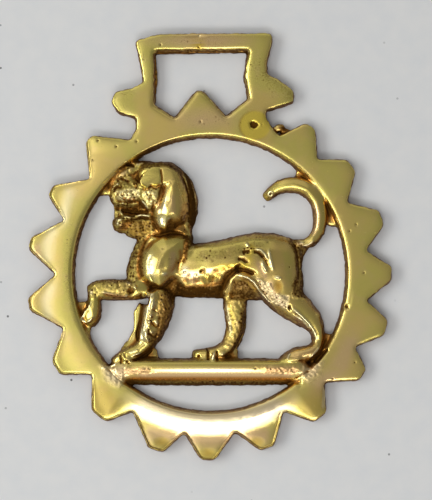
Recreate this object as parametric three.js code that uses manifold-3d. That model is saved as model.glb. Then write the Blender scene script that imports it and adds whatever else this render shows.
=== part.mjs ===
import * as THREE from 'three';
import { mergeVertices } from 'three/addons/utils/BufferGeometryUtils.js';
import Module from 'manifold-3d';

// A cast brass horse harness ornament: a toothed ring with a strap hanger above it, and a
// long-eared dog that steps along a ground bar inside the ring, all poured in one piece.
// Millimetres. X is across the front, Y runs up to the hanger and Z comes out of the front.
// The back is flat on z = 0, and the origin is the middle of the back's outline.

const wasm = await Module();
wasm.setup();

// ---- driving sizes ----

const plateThickness = 2.7;
const edgeRoll = 0.25; // how far the polished edge rolls over inside the drawn outline
const outerSpread = 0.2; // how far the outer wall spreads from the outline down to the back
const holeSpread = 0.7; // the same for the walls of the ring's hole and the strap slot
const edgeLayers = 3;
const cornerSteps = 3;
const cornerShare = 0.45; // the most of an edge that one rounded corner may take up
const cutClearance = 0.02; // how far a cut runs past the face that it opens
const mergeDistance = 1e-4;
const poleGirth = 1e-6; // a swell's vertices nearer its end point than this stay on the point
const websThickness = 1.3; // thin metal left where the mould leaked
const keptSpace = { width: 100, length: 110, height: 8 }; // the casting is kept inside this

const ring = { x: 0, y: -6, holeY: -5.95, holeHalfWidth: 29.2, holeHalfHeight: 29.5, steps: 72 };

// The teeth go clockwise from the hanger's right side: middle (degrees), reach from the ring's
// centre, and half the angle of the blunt tip. Each dip follows its tooth: angle and radius.
const teeth = [
  { middle: 55.9, reach: 37.8, blunt: 1.8, dip: [47, 33.1] },
  { middle: 37.6, reach: 37.6, blunt: 2.3, dip: [27.5, 32.5] },
  { middle: 18.1, reach: 38, blunt: 2.4, dip: [8.5, 33] },
  { middle: 0.2, reach: 38.2, blunt: 2.1, dip: [-9.7, 33.2] },
  { middle: -17.1, reach: 38.6, blunt: 2.4, dip: [-26.9, 33.9] },
  { middle: -33.5, reach: 38.4, blunt: 2, dip: [-43.5, 33] },
  { middle: -52.7, reach: 37.9, blunt: 2.3, dip: [-62, 32.6] },
  { middle: -71.9, reach: 38.4, blunt: 2.2, dip: [-81.1, 33.5] },
  { middle: -90.7, reach: 39, blunt: 2, dip: [-99.2, 33.7] },
  { middle: -107.2, reach: 38.6, blunt: 2.2, dip: [-119.4, 33] },
  { middle: -128.1, reach: 37.9, blunt: 2.8, dip: [-139.6, 32.4] },
  { middle: -148.7, reach: 37.9, blunt: 2.5, dip: [-159.5, 32.8] },
  { middle: -170.5, reach: 38.7, blunt: 1.8, dip: [-179.8, 32.4] },
  { middle: -189.6, reach: 38.6, blunt: 1.7, dip: [-200.2, 32.7] },
  { middle: -207.8, reach: 38, blunt: 1.7, dip: [-218.3, 32.3] },
  { middle: -228.2, reach: 38.4, blunt: 1.4, dip: [-239.2, 33] },
];
const tipRadius = 1.3;
const dipRadius = 0.8;

// The hanger's edge from the last dip, over the top bar and down to the first tooth: x, y and
// the radius of the corner.
const hangerEdge = [
  [-15.6, 24.8, 1],
  [-15.6, 27.1, 0.9],
  [-19.3, 28.2, 1.5],
  [-21, 30.5, 1.6],
  [-20, 32.6, 1.2],
  [-16.6, 33.3, 2],
  [-14.1, 34.6, 1],
  [-14.6, 38, 3],
  [-15.9, 43.6, 1],
  [-10.5, 45, 5],
  [13.5, 45.15, 1.3],
  [11.9, 38.6, 3],
  [12.1, 36.3, 0.8],
  [14.3, 35.3, 2],
  [17.7, 32.7, 1.5],
  [17.5, 30.4, 0.9],
  [11.7, 28.6, 0.8],
  [11.8, 26.9, 1.5],
  [14.5, 23.1, 0.8],
  [17.5, 24.6, 2],
];

// The strap slot's edge, with the blunt point that stands up in the middle of its foot.
const slotEdge = [
  [-12.4, 41.55, 0.9],
  [-11.8, 36, 5],
  [-12.4, 29.6, 0.9],
  [-7.4, 26.5, 0.9],
  [-2.3, 33.1, 1.3],
  [3.3, 26.8, 0.8],
  [8.6, 31, 0.9],
  [7.7, 36, 4],
  [8.6, 41.9, 1.2],
];

// ---- shapes ----

const degrees = Math.PI / 180;

function ringPoint(angle, radius) {
  return [ring.x + radius * Math.cos(angle * degrees), ring.y + radius * Math.sin(angle * degrees)];
}

// Draws straight edges between corners [x, y, radius] into a closed shape, with round corners.
function roundedOutline(corners, outline) {
  const points = corners.map(([x, y]) => new THREE.Vector2(x, y));
  corners.forEach(([, , radius], index) => {
    const corner = points[index];
    const before = points[(index + points.length - 1) % points.length].clone().sub(corner);
    const after = points[(index + 1) % points.length].clone().sub(corner);
    const halfAngle = Math.abs(before.angleTo(after)) / 2;
    const shortest = Math.min(before.length(), after.length());
    const reach = Math.min(radius / Math.tan(halfAngle), cornerShare * shortest);
    const start = corner.clone().add(before.setLength(reach));
    const end = corner.clone().add(after.setLength(reach));
    if (index === 0) outline.moveTo(start.x, start.y);
    else outline.lineTo(start.x, start.y);
    outline.quadraticCurveTo(corner.x, corner.y, end.x, end.y);
  });
  outline.closePath();
  return outline;
}

function solidFrom(geometry) {
  geometry.deleteAttribute('normal');
  geometry.deleteAttribute('uv');
  const merged = mergeVertices(geometry, mergeDistance);
  return new wasm.Manifold(new wasm.Mesh({
    numProp: 3,
    vertProperties: merged.attributes.position.array,
    triVerts: Uint32Array.from(merged.index.array),
  }));
}

// A plate whose outline is moved outwards by frontOffset at its front and by backOffset at its
// back, with the edge rolled over between them. Its mirror half is below z = 0.
function rolledPlate(outline, thickness, frontOffset, backOffset) {
  const wall = 0.2;
  const geometry = new THREE.ExtrudeGeometry(outline, {
    depth: wall,
    curveSegments: cornerSteps,
    bevelThickness: thickness - wall / 2,
    bevelOffset: frontOffset,
    bevelSize: backOffset - frontOffset,
    bevelSegments: edgeLayers,
  });
  geometry.translate(0, 0, -wall / 2);
  return solidFrom(geometry);
}

// A swell of metal drawn out along stations [x, y, half width, height]. Fullness is how round
// the ends are (1 is an egg, 0.2 a blunt bar), and boxy how square its section is (1 is round).
function swell(stations, { fullness = 0.5, boxy = 0.85, sides = 12, rings = 10 } = {}) {
  const places = stations.map(([x, y]) => new THREE.Vector3(x, y, 0));
  const sections = stations.map(([, , half, high]) => new THREE.Vector3(half, high, 0));
  const path = new THREE.CatmullRomCurve3(places);
  const size = new THREE.CatmullRomCurve3(sections);
  const geometry = new THREE.SphereGeometry(1, sides, rings);
  const position = geometry.attributes.position;
  const vertex = new THREE.Vector3();
  const squared = (value) => Math.sign(value) * Math.abs(value) ** boxy;
  for (let index = 0; index < position.count; index += 1) {
    vertex.fromBufferAttribute(position, index);
    const along = THREE.MathUtils.clamp((1 - vertex.y) / 2, 0, 1);
    const girth = Math.hypot(vertex.x, vertex.z);
    const taper = girth > poleGirth ? girth ** fullness : 0;
    const round = Math.max(girth, poleGirth);
    const place = path.getPoint(along);
    const heading = path.getTangent(along);
    const { x: half, y: high } = size.getPoint(along);
    const across = squared(vertex.x / round) * half * taper;
    const up = squared(vertex.z / round) * high * taper;
    position.setXYZ(index, place.x - heading.y * across, place.y + heading.x * across, up);
  }
  return solidFrom(geometry);
}

// A thin web of metal with the given corners.
function web(corners, thickness = websThickness) {
  const outline = new THREE.Shape(corners.map(([x, y]) => new THREE.Vector2(x, y)));
  const geometry = new THREE.ExtrudeGeometry(outline, { depth: 2 * thickness, bevelEnabled: false });
  geometry.translate(0, 0, -thickness);
  return solidFrom(geometry);
}

// ---- ring, hanger and strap slot ----

function makePlate() {
  const corners = [];
  teeth.forEach(({ middle, reach, blunt, dip: [dipAngle, dipDepth] }) => {
    corners.push([...ringPoint(middle + blunt, reach), tipRadius]);
    corners.push([...ringPoint(middle - blunt, reach), tipRadius]);
    corners.push([...ringPoint(dipAngle, dipDepth), dipRadius]);
  });
  const plug = (outline) => (
    rolledPlate(outline, plateThickness + cutClearance, edgeRoll, -holeSpread)
  );
  const blank = roundedOutline([...corners, ...hangerEdge], new THREE.Shape());
  const hole = new THREE.EllipseCurve(ring.x, ring.holeY, ring.holeHalfWidth, ring.holeHalfHeight);
  return rolledPlate(blank, plateThickness, -edgeRoll, outerSpread)
    .subtract(plug(new THREE.Shape(hole.getPoints(ring.steps).slice(0, -1))))
    .subtract(plug(roundedOutline(slotEdge, new THREE.Shape())));
}

// ---- ground bar ----

function makeGround() {
  const barY = -26.6;
  const halfLength = 23;
  const halfWidth = 2.95;
  const height = 3.4;
  const shares = [-1, -0.5, 0, 0.5, 1];
  const stations = shares.map((share) => [share * halfLength, barY, halfWidth, height]);
  return swell(stations, { fullness: 0.15, boxy: 0.95, sides: 16, rings: 6 });
}

// ---- dog ----

function makeHead() {
  const skull = swell([
    [-10.4, 18, 4, 3],
    [-10.1, 14, 6.3, 3.6],
    [-9.2, 9, 6.8, 3.8],
    [-8.8, 5, 6.3, 3.6],
    [-8.6, 1.2, 5.6, 3],
  ], { sides: 16 });
  const muzzle = swell([
    [-11.5, 11.4, 4.4, 3.6],
    [-16.5, 11.2, 3.8, 3.6],
    [-19, 10.6, 3, 3.3],
    [-21.3, 10, 2.1, 2.8],
  ]);
  const jaw = swell([
    [-12, 4.8, 2.3, 3],
    [-15.5, 4.9, 1.9, 2.8],
    [-18.6, 4.6, 2.1, 3],
    [-20.7, 4.4, 1.7, 2.6],
  ]);
  const beard = swell([
    [-18, 3, 1.3, 2],
    [-15, 3, 1.8, 2.2],
    [-12, 2.4, 1.8, 2.2],
  ]);
  const fringe = swell([
    [-21.3, 11.8, 1.4, 2.3],
    [-19.3, 14.2, 1.8, 2.5],
    [-16.2, 15.7, 2.2, 2.6],
    [-13.2, 16.3, 2, 2.7],
    [-10, 16.6, 1.5, 2.7],
  ]);
  const ear = swell([
    [-9, 16.7, 1.4, 5],
    [-8.4, 14, 2, 5.4],
    [-7.9, 11, 2.7, 5.8],
    [-8.1, 8, 3.2, 5.9],
    [-8.5, 5.5, 2.8, 5.6],
    [-9.4, 2.7, 1.3, 4.6],
  ], { rings: 12 });
  const brow = swell([
    [-14.9, 13.2, 1.9, 4.9],
    [-12.7, 14, 2.1, 5.2],
    [-10.4, 14.7, 1.9, 5],
  ]);
  const snoutCurls = swell([
    [-19.9, 10.8, 1.3, 3.9],
    [-17.4, 10.4, 1.2, 4.2],
    [-15, 10.6, 1.2, 4.1],
  ]);
  const cheekCurls = swell([
    [-14.6, 10.6, 1.2, 4.1],
    [-12.8, 10.2, 1.5, 4.4],
    [-11.3, 9.4, 1.2, 4.1],
  ], { rings: 8 });
  const mouthFloor = web([[-20.2, 5.5], [-13, 5.5], [-13, 9], [-20.4, 9]], 1.2);
  return [skull, muzzle, jaw, beard, fringe, ear, brow, snoutCurls, cheekCurls, mouthFloor];
}

function makeTrunk() {
  const neck = swell([
    [-9.2, 6, 5.2, 3],
    [-9.1, 2, 5.5, 3.1],
    [-9, -3, 5.8, 3.2],
  ], { fullness: 0.3 });
  const chest = swell([
    [-13, 3, 2.6, 2.3],
    [-13.1, 0, 3.1, 2.6],
    [-14.3, -4, 3.2, 2.8],
    [-15, -7.2, 3.1, 2.9],
    [-14.4, -11, 2.8, 2.7],
  ]);
  const shoulder = swell([
    [-8.6, 2.3, 2.8, 4.6],
    [-9.2, -1.5, 3.7, 5.4],
    [-10.2, -5, 3.8, 5.4],
    [-11, -9, 2, 4.2],
  ], { fullness: 0.6, sides: 14 });
  const barrel = swell([
    [-13, -5.2, 6, 4],
    [-6, -5.4, 6.3, 4.5],
    [0, -5.1, 6.1, 4.7],
    [6, -4.7, 6.9, 4.8],
    [12, -4.2, 7.4, 4.9],
    [17, -4.4, 6.6, 4.4],
    [19.3, -4.8, 5.3, 3.4],
  ], { fullness: 0.4, sides: 16, rings: 14 });
  return [neck, chest, shoulder, barrel];
}

function makeLegs() {
  const raisedArm = swell([
    [-12, -8.8, 2.7, 3.4],
    [-16.5, -9.3, 2.5, 3.4],
    [-20.5, -9.3, 2.3, 3.2],
    [-23.3, -9.3, 2.3, 3.1],
    [-26, -9.7, 2, 2.8],
  ], { fullness: 0.4 });
  const raisedShin = swell([
    [-24.3, -8, 1.7, 3],
    [-24.5, -11, 1.65, 3],
    [-24.5, -13.3, 1.65, 3],
    [-25, -15, 2.1, 3.1],
    [-25.5, -17.2, 1.7, 2.7],
  ], { fullness: 0.4 });
  const standingForeleg = swell([
    [-9.8, -7, 3, 3.8],
    [-10.2, -11.5, 3.1, 4],
    [-11, -15, 2.9, 3.9],
    [-12.3, -18.6, 2.4, 3.6],
    [-14.6, -21.7, 1.8, 3.3],
    [-17.8, -23.3, 1.8, 3.3],
    [-20.8, -24.8, 1.5, 3],
  ], { fullness: 0.3, rings: 14 });
  const farHindLeg = swell([
    [5.8, -7.5, 3.6, 3],
    [5.2, -12.5, 2.8, 3],
    [5.5, -16.3, 2.3, 3],
    [4.9, -19.4, 2, 2.9],
    [3, -22, 1.7, 2.9],
    [-0.5, -22.9, 1.6, 3],
    [-4, -22.8, 1.2, 2.4],
  ], { fullness: 0.3, rings: 14 });
  const nearHindLeg = swell([
    [11.5, 0.5, 4.6, 4.6],
    [13.3, -4.6, 6.4, 5.1],
    [15, -8.8, 5.4, 4.8],
    [17, -12.2, 3.6, 4.2],
    [20.7, -15, 2.9, 3.9],
    [22.6, -18, 1.9, 3.7],
    [22.7, -21.6, 1.7, 3.5],
  ], { fullness: 0.4, sides: 14, rings: 14 });
  const hindFoot = swell([
    [23.2, -20, 1.5, 3.4],
    [21.4, -22.4, 1.7, 3.6],
    [18, -23.2, 1.8, 3.5],
    [14.7, -24.6, 1.5, 3.1],
  ], { fullness: 0.4 });
  return [raisedArm, raisedShin, standingForeleg, farHindLeg, nearHindLeg, hindFoot];
}

function makeTail() {
  return swell([
    [17.2, 0.6, 1.2, 2.9],
    [20.6, 0.5, 1.3, 2.9],
    [22.7, 2.6, 1.45, 2.9],
    [23.3, 6, 1.55, 2.9],
    [22.6, 9.5, 1.6, 2.9],
    [20.3, 12.2, 1.75, 2.9],
    [17.2, 13, 1.85, 2.9],
    [14.2, 12.2, 1.65, 2.8],
    [11.4, 10, 1.5, 2.2],
  ], { fullness: 0.3, boxy: 0.6, rings: 20 });
}

function makeWebs() {
  const behindHead = [[-24.8, 12], [-23, 10.7], [-20.6, 10.8], [-15, 17], [-15.4, 18.8], [-20, 18]];
  const underRaisedPaw = [
    [-29.6, -12],
    [-26, -11.8],
    [-24.6, -16],
    [-25.4, -18.2],
    [-24.8, -20.6],
    [-27.5, -20],
  ];
  const besideForeleg = [
    [-15, -12],
    [-16.1, -14],
    [-16.1, -17.5],
    [-17.4, -20],
    [-18.8, -21.8],
    [-14, -22],
    [-12, -13],
  ];
  const underForepaw = [[-13.5, -21], [-11.3, -21.8], [-10.7, -24.5], [-16, -24.8]];
  const behindHeel = [[23.4, -18.4], [25.9, -18.7], [28, -19.5], [24, -26], [21, -25], [22.5, -20]];
  const overTail = [[17.9, 14.4], [18.3, 16.4], [20, 18], [23, 13.4], [20, 12]];
  const besideTail = [[23.6, 9], [25, 4.2], [26.9, 4], [28.4, 6], [25.5, 10.5]];
  const underTailRoot = [[17.8, 0], [20.7, -0.6], [19.6, -2.5], [18.2, -5.2]];
  const underFarPaw = [[1.8, -22.8], [5.8, -22], [5.9, -24.6], [1.6, -24.8]];
  return [
    web(behindHead),
    web(underRaisedPaw),
    web(besideForeleg),
    web(underForepaw),
    web(behindHeel),
    web(overTail),
    web(besideTail),
    web(underTailRoot),
    web(underFarPaw),
  ];
}

// ---- the casting ----

const dog = [...makeHead(), ...makeTrunk(), ...makeLegs(), makeTail()];
const pieces = [makePlate(), makeGround(), ...dog, ...makeWebs()];
const spaceAboveBack = new THREE.BoxGeometry(keptSpace.width, keptSpace.length, keptSpace.height);
spaceAboveBack.translate(0, 0, keptSpace.height / 2);
const joined = pieces.reduce((casting, piece) => casting.add(piece));
const { vertProperties, triVerts } = joined.intersect(solidFrom(spaceAboveBack)).getMesh();

const geometry = new THREE.BufferGeometry();
geometry.setAttribute('position', new THREE.BufferAttribute(vertProperties, 3));
geometry.setIndex(new THREE.BufferAttribute(triVerts, 1));
geometry.computeBoundingBox();
const middle = geometry.boundingBox.getCenter(new THREE.Vector3());
geometry.translate(-middle.x, -middle.y, 0);
geometry.computeVertexNormals();

const brass = new THREE.MeshStandardMaterial({ color: 0x9a8a48, roughness: 0.35, metalness: 0.95 });
const horseBrass = new THREE.Mesh(geometry, brass);
horseBrass.name = 'horse_brass';

const model = new THREE.Group();
model.add(horseBrass);

export default model;
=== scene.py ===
import math

import bpy
import numpy as np
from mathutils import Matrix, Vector


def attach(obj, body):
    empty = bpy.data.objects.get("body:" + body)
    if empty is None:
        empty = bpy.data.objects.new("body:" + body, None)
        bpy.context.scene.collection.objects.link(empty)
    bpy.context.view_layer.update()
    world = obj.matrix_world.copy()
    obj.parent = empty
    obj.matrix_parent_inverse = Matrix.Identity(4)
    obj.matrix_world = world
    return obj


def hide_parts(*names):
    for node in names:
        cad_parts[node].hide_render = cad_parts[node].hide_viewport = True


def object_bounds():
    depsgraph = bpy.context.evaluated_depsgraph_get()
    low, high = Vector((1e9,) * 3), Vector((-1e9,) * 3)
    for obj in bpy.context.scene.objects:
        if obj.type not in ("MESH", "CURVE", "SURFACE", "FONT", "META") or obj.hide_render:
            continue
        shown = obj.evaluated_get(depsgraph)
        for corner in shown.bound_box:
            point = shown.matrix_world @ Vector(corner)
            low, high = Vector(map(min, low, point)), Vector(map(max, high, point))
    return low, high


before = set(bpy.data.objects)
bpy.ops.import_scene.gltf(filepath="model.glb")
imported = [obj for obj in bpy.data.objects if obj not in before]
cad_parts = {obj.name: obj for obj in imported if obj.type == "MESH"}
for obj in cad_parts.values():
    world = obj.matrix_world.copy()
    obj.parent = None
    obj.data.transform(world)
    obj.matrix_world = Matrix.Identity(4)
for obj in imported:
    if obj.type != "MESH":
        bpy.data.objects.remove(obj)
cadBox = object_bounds()
mm = 0.001
print("frame loaded")


# camera, floor and lights

cameraSetup = {
    "target": (1.26, -1.1, 2.7),  # mm
    "elevation": 86,
    "distance": 450,
    "lens": 153.9,
}


def addCamera(setup):
    rise = math.radians(setup["elevation"])
    target = Vector(setup["target"]) * mm
    offset = Vector((0, -math.cos(rise), math.sin(rise))) * setup["distance"] * mm
    bpy.ops.object.camera_add(location=target + offset)
    camera = bpy.context.object
    camera.name = "studioCamera"
    camera.rotation_euler = (-offset).to_track_quat("-Z", "Y").to_euler()
    camera.data.lens = setup["lens"]
    camera.data.sensor_width = 36
    camera.data.clip_start = 0.01
    bpy.context.scene.camera = camera


def addNode(tree, kind, **settings):
    node = tree.nodes.new(kind)
    for key, value in settings.items():
        setattr(node, key, value)
    return node


def feedSocket(tree, socket, value):
    if isinstance(value, bpy.types.NodeSocket):
        tree.links.new(value, socket)
    elif isinstance(value, tuple):
        socket.default_value = (*value, 1)
    else:
        socket.default_value = value


def mixColour(tree, share, first, second):
    node = addNode(tree, "ShaderNodeMix", data_type="RGBA")
    for place, value in ((0, share), (6, first), (7, second)):
        feedSocket(tree, node.inputs[place], value)
    return node.outputs[2]


def addMath(tree, operation, first, second, clamp=False):
    node = addNode(tree, "ShaderNodeMath", operation=operation, use_clamp=clamp)
    feedSocket(tree, node.inputs[0], first)
    feedSocket(tree, node.inputs[1], second)
    return node.outputs[0]


def stretch(tree, value, start, gain):
    return addMath(tree, "MULTIPLY", addMath(tree, "SUBTRACT", value, start), gain, clamp=True)


def addShare(tree, value, other, amount):
    return addMath(tree, "ADD", value, addMath(tree, "MULTIPLY", other, amount))


def readMask(tree, name):
    return addNode(tree, "ShaderNodeAttribute", attribute_name=name).outputs["Fac"]


def addNoise(tree, place, scale, detail):
    noise = addNode(tree, "ShaderNodeTexNoise")
    noise.inputs["Scale"].default_value = scale
    noise.inputs["Detail"].default_value = detail
    tree.links.new(place, noise.inputs["Vector"])
    return noise.outputs["Fac"]


# Each soft box: degrees away from straight above, compass direction (0 is to the right, 90 is
# up towards the hanger), size in mm, brightness and colour.
lightSetup = {
    "frontWindow": {"tilt": 36, "compass": -95, "size": (620, 230), "glow": 4, "colour": (1, 0.98, 0.98)},
    "sideWindow": {"tilt": 15, "compass": 190, "size": (560, 120), "glow": 0.95, "colour": (1, 1, 1)},
    "leftWindow": {"tilt": 50, "compass": 184, "size": (760, 340), "glow": 4.6, "colour": (0.98, 1, 0.98)},
    "backWindow": {"tilt": 48, "compass": 92, "size": (900, 420), "glow": 0.24, "colour": (1, 1, 0.97)},
}
lightDistance = 900  # mm

# The room's glow from the dim side, past the point straight above, to the bright front left.
roomGlow = ((0, 0.2), (0.34, 0.28), (0.47, 0.31), (0.5, 0.34), (0.535, 0.66), (0.58, 0.7), (0.72, 0.42),
            (1, 0.25))
brightWay = (-0.97, -0.25, 0)


def addLight(name, setup):
    tilt, compass = math.radians(setup["tilt"]), math.radians(setup["compass"])
    way = Vector((math.sin(tilt) * math.cos(compass), math.sin(tilt) * math.sin(compass), math.cos(tilt)))
    bpy.ops.object.light_add(type="AREA", location=way * lightDistance * mm)
    light = bpy.context.object
    light.name = name
    light.rotation_euler = (-way).to_track_quat("-Z", "Y").to_euler()
    light.data.shape = "RECTANGLE"
    light.data.size = setup["size"][0] * mm
    light.data.size_y = setup["size"][1] * mm
    light.data.energy = setup["glow"] * math.pi * light.data.size * light.data.size_y
    light.data.color = setup["colour"]


def makeWorld(glow):
    world = bpy.data.worlds.new("softRoom")
    world.use_nodes = True
    tree = world.node_tree
    direction = addNode(tree, "ShaderNodeTexCoord").outputs["Generated"]
    dot = addNode(tree, "ShaderNodeVectorMath", operation="DOT_PRODUCT")
    dot.inputs[1].default_value = brightWay
    tree.links.new(direction, dot.inputs[0])
    share = addNode(tree, "ShaderNodeMapRange")
    share.inputs["From Min"].default_value = -1
    tree.links.new(dot.outputs["Value"], share.inputs["Value"])
    ramp = addNode(tree, "ShaderNodeValToRGB")
    ramp.color_ramp.interpolation = "B_SPLINE"
    while len(ramp.color_ramp.elements) < len(glow):
        ramp.color_ramp.elements.new(0.5)
    for element, (position, value) in zip(ramp.color_ramp.elements, glow):
        element.position = position
        element.color = (value, value, value, 1)
    tree.links.new(share.outputs["Result"], ramp.inputs["Fac"])
    tree.links.new(ramp.outputs["Color"], tree.nodes["Background"].inputs["Color"])
    bpy.context.scene.world = world


floorFinish = {
    "pale": (0.74, 0.74, 0.735),
    "shade": (0.68, 0.695, 0.71),
    "speck": (0.12, 0.12, 0.12),
    "mottleScale": 260,
    "dustScale": 75,
    "dustSize": 0.018,  # of a cell
    "width": 2.4,  # m
}


def addFloor(finish):
    bpy.ops.object.select_all(action="DESELECT")
    bpy.ops.mesh.primitive_plane_add(size=finish["width"], location=(0, 0, -0.00002))
    floor = bpy.context.object
    floor.name = "paleFloor"
    material = bpy.data.materials.new("palePaper")
    material.use_nodes = True
    tree = material.node_tree
    shader = tree.nodes["Principled BSDF"]
    shader.inputs["Roughness"].default_value = 0.9
    shader.inputs["Specular IOR Level"].default_value = 0.1
    place = addNode(tree, "ShaderNodeTexCoord").outputs["Object"]
    mottle = addNoise(tree, place, finish["mottleScale"], 6)
    clouds = stretch(tree, mottle, 0.35, 1.6)
    # a few dark specks of dust, one in some of the cells
    dust = addNode(tree, "ShaderNodeTexVoronoi", feature="F1", voronoi_dimensions="2D")
    dust.inputs["Scale"].default_value = finish["dustScale"]
    tree.links.new(place, dust.inputs["Vector"])
    near = addMath(tree, "LESS_THAN", dust.outputs["Distance"], finish["dustSize"])
    chosen = addNode(tree, "ShaderNodeSeparateColor")
    tree.links.new(dust.outputs["Color"], chosen.inputs[0])
    speck = addMath(tree, "MULTIPLY", near, addMath(tree, "GREATER_THAN", chosen.outputs[0], 0.6))
    speck = addMath(tree, "MULTIPLY", speck, chosen.outputs[1])
    colour = mixColour(tree, clouds, finish["pale"], finish["shade"])
    colour = mixColour(tree, speck, colour, finish["speck"])
    tree.links.new(colour, shader.inputs["Base Color"])
    floor.data.materials.append(material)


addCamera(cameraSetup)
for name, setup in lightSetup.items():
    addLight(name, setup)
makeWorld(roomGlow)
addFloor(floorFinish)
bpy.context.scene.view_settings.view_transform = "Standard"
print("camera, lights and floor set")


# the casting's mesh

castingForm = {
    "voxel": 0.2,  # mm
    "evenPasses": 4,  # smoothing all over after the remesh
    "polishPasses": 30,  # smoothing of the parts that were rubbed smooth
    "broadPasses": 90,  # smoothing of its trunk, chest and bar
    "formPasses": 12,  # smoothing of its large forms
    "carvedPasses": 2,  # smoothing of the dog after its details are carved
    "triangles": 195000,
    "flash": ((14.7, 24.9, 1, (1.3, 0.9, 0.7)), (16, 24.2, 0.8, (1.2, 0.7, 0.6))),  # mm
    "ringCentre": -6,  # mm, up the part
    "crown": 0.14,  # mm that the face falls from the middle of a wide part to its edges
    "crownReach": 1.2,
    "waves": 0.035,
    "waveSize": 7,
    "toothStart": 30.2,  # mm from the ring's centre
    "toothFall": 0.011,  # the left teeth curve away, by this times the square of the mm past their start
    "bottomStarts": (29.9, 30.6, 31.6),  # the bottom's worn slope sets in over these
    "bottomSlope": 0.31,
    "bottomWidth": 3.8,
    "rimStart": 28.6,  # the hole's rim is broken from here outwards
    "rimDepth": 1.6,
    "wallWaves": ((0.9, 0.09), (0.45, 0.06)),  # size and height of the rough walls' waves
    "grainWaves": ((0.42, 0.16), (0.8, 0.1)),  # and of the front's grain
    "backReach": 0.12,  # what lies lower than this is pressed flat
}


def copySolid(name):
    piece = bpy.data.objects.new("brassCasting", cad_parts[name].data.copy())
    bpy.context.scene.collection.objects.link(piece)
    bpy.ops.object.select_all(action="DESELECT")
    piece.select_set(True)
    bpy.context.view_layer.objects.active = piece
    bpy.ops.object.mode_set(mode="EDIT")
    bpy.ops.mesh.select_all(action="SELECT")
    bpy.ops.mesh.remove_doubles(threshold=1e-6)
    bpy.ops.object.mode_set(mode="OBJECT")
    return piece


def applyModifier(piece, kind, **settings):
    modifier = piece.modifiers.new(kind.lower(), kind)
    for key, value in settings.items():
        setattr(modifier, key, value)
    bpy.context.view_layer.objects.active = piece
    bpy.ops.object.modifier_apply(modifier=modifier.name)


def readPoints(piece):
    values = np.empty(len(piece.data.vertices) * 3, np.float32)
    piece.data.vertices.foreach_get("co", values)
    return values.reshape(-1, 3).astype(float) / mm


def writePoints(piece, points):
    piece.data.vertices.foreach_set("co", (points * mm).astype(np.float32).ravel())
    piece.data.update()


def readNormals(piece):
    values = np.empty(len(piece.data.vertices) * 3, np.float32)
    piece.data.vertices.foreach_get("normal", values)
    return values.reshape(-1, 3).astype(float)


def addGroup(piece, name, weights):
    group = piece.vertex_groups.new(name=name)
    levels = 20
    steps = np.round(np.clip(weights, 0, 1) * levels).astype(int)
    for step in range(1, levels + 1):
        chosen = np.flatnonzero(steps == step)
        group.add(chosen.tolist(), step / levels, "REPLACE")


def smoothPart(piece, passes, group=""):
    applyModifier(piece, "SMOOTH", iterations=passes, factor=0.5, vertex_group=group)


def smoothStep(value, low, high):
    share = np.clip((value - low) / (high - low), 0, 1)
    return share * share * (3 - 2 * share)


def softNoise(x, y, size, seed):
    # even waves about the given size, between -1 and 1
    table = np.random.default_rng(seed).uniform(-1, 1, (128, 128))
    u, v = x / size + 64, y / size + 64
    column, row = np.floor(u).astype(int), np.floor(v).astype(int)
    across, up = smoothStep(u - column, 0, 1), smoothStep(v - row, 0, 1)
    column, row = column % 127, row % 127
    low = table[column, row] * (1 - across) + table[column + 1, row] * across
    high = table[column, row + 1] * (1 - across) + table[column + 1, row + 1] * across
    return low * (1 - up) + high * up


def awayFromPath(x, y, path):
    # how far each point is from the path, and how far along it the nearest place is
    best = np.full(len(x), 1e9)
    along = np.zeros(len(x))
    lengths = [math.dist(a, b) for a, b in zip(path, path[1:])]
    done = 0
    for (ax, ay), (bx, by), length in zip(path, path[1:], lengths):
        share = np.clip(((x - ax) * (bx - ax) + (y - ay) * (by - ay)) / length**2, 0, 1)
        gap = np.hypot(x - ax - share * (bx - ax), y - ay - share * (by - ay))
        nearer = gap < best
        best = np.where(nearer, gap, best)
        along = np.where(nearer, (done + share * length) / sum(lengths), along)
        done += length
    return best, along


def insideShape(x, y, corners):
    inside = np.zeros(len(x), bool)
    for (ax, ay), (bx, by) in zip(corners, corners[1:] + corners[:1]):
        if ay != by:
            inside ^= ((ay > y) != (by > y)) & (x < (bx - ax) * (y - ay) / (by - ay) + ax)
    return inside


# one of these masks marks polish: it lowers the roughness and paints a pale highlight colour
maskNames = ("dark", "warm", "grain", "shine", "rosy", "golden", "olive")


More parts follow.
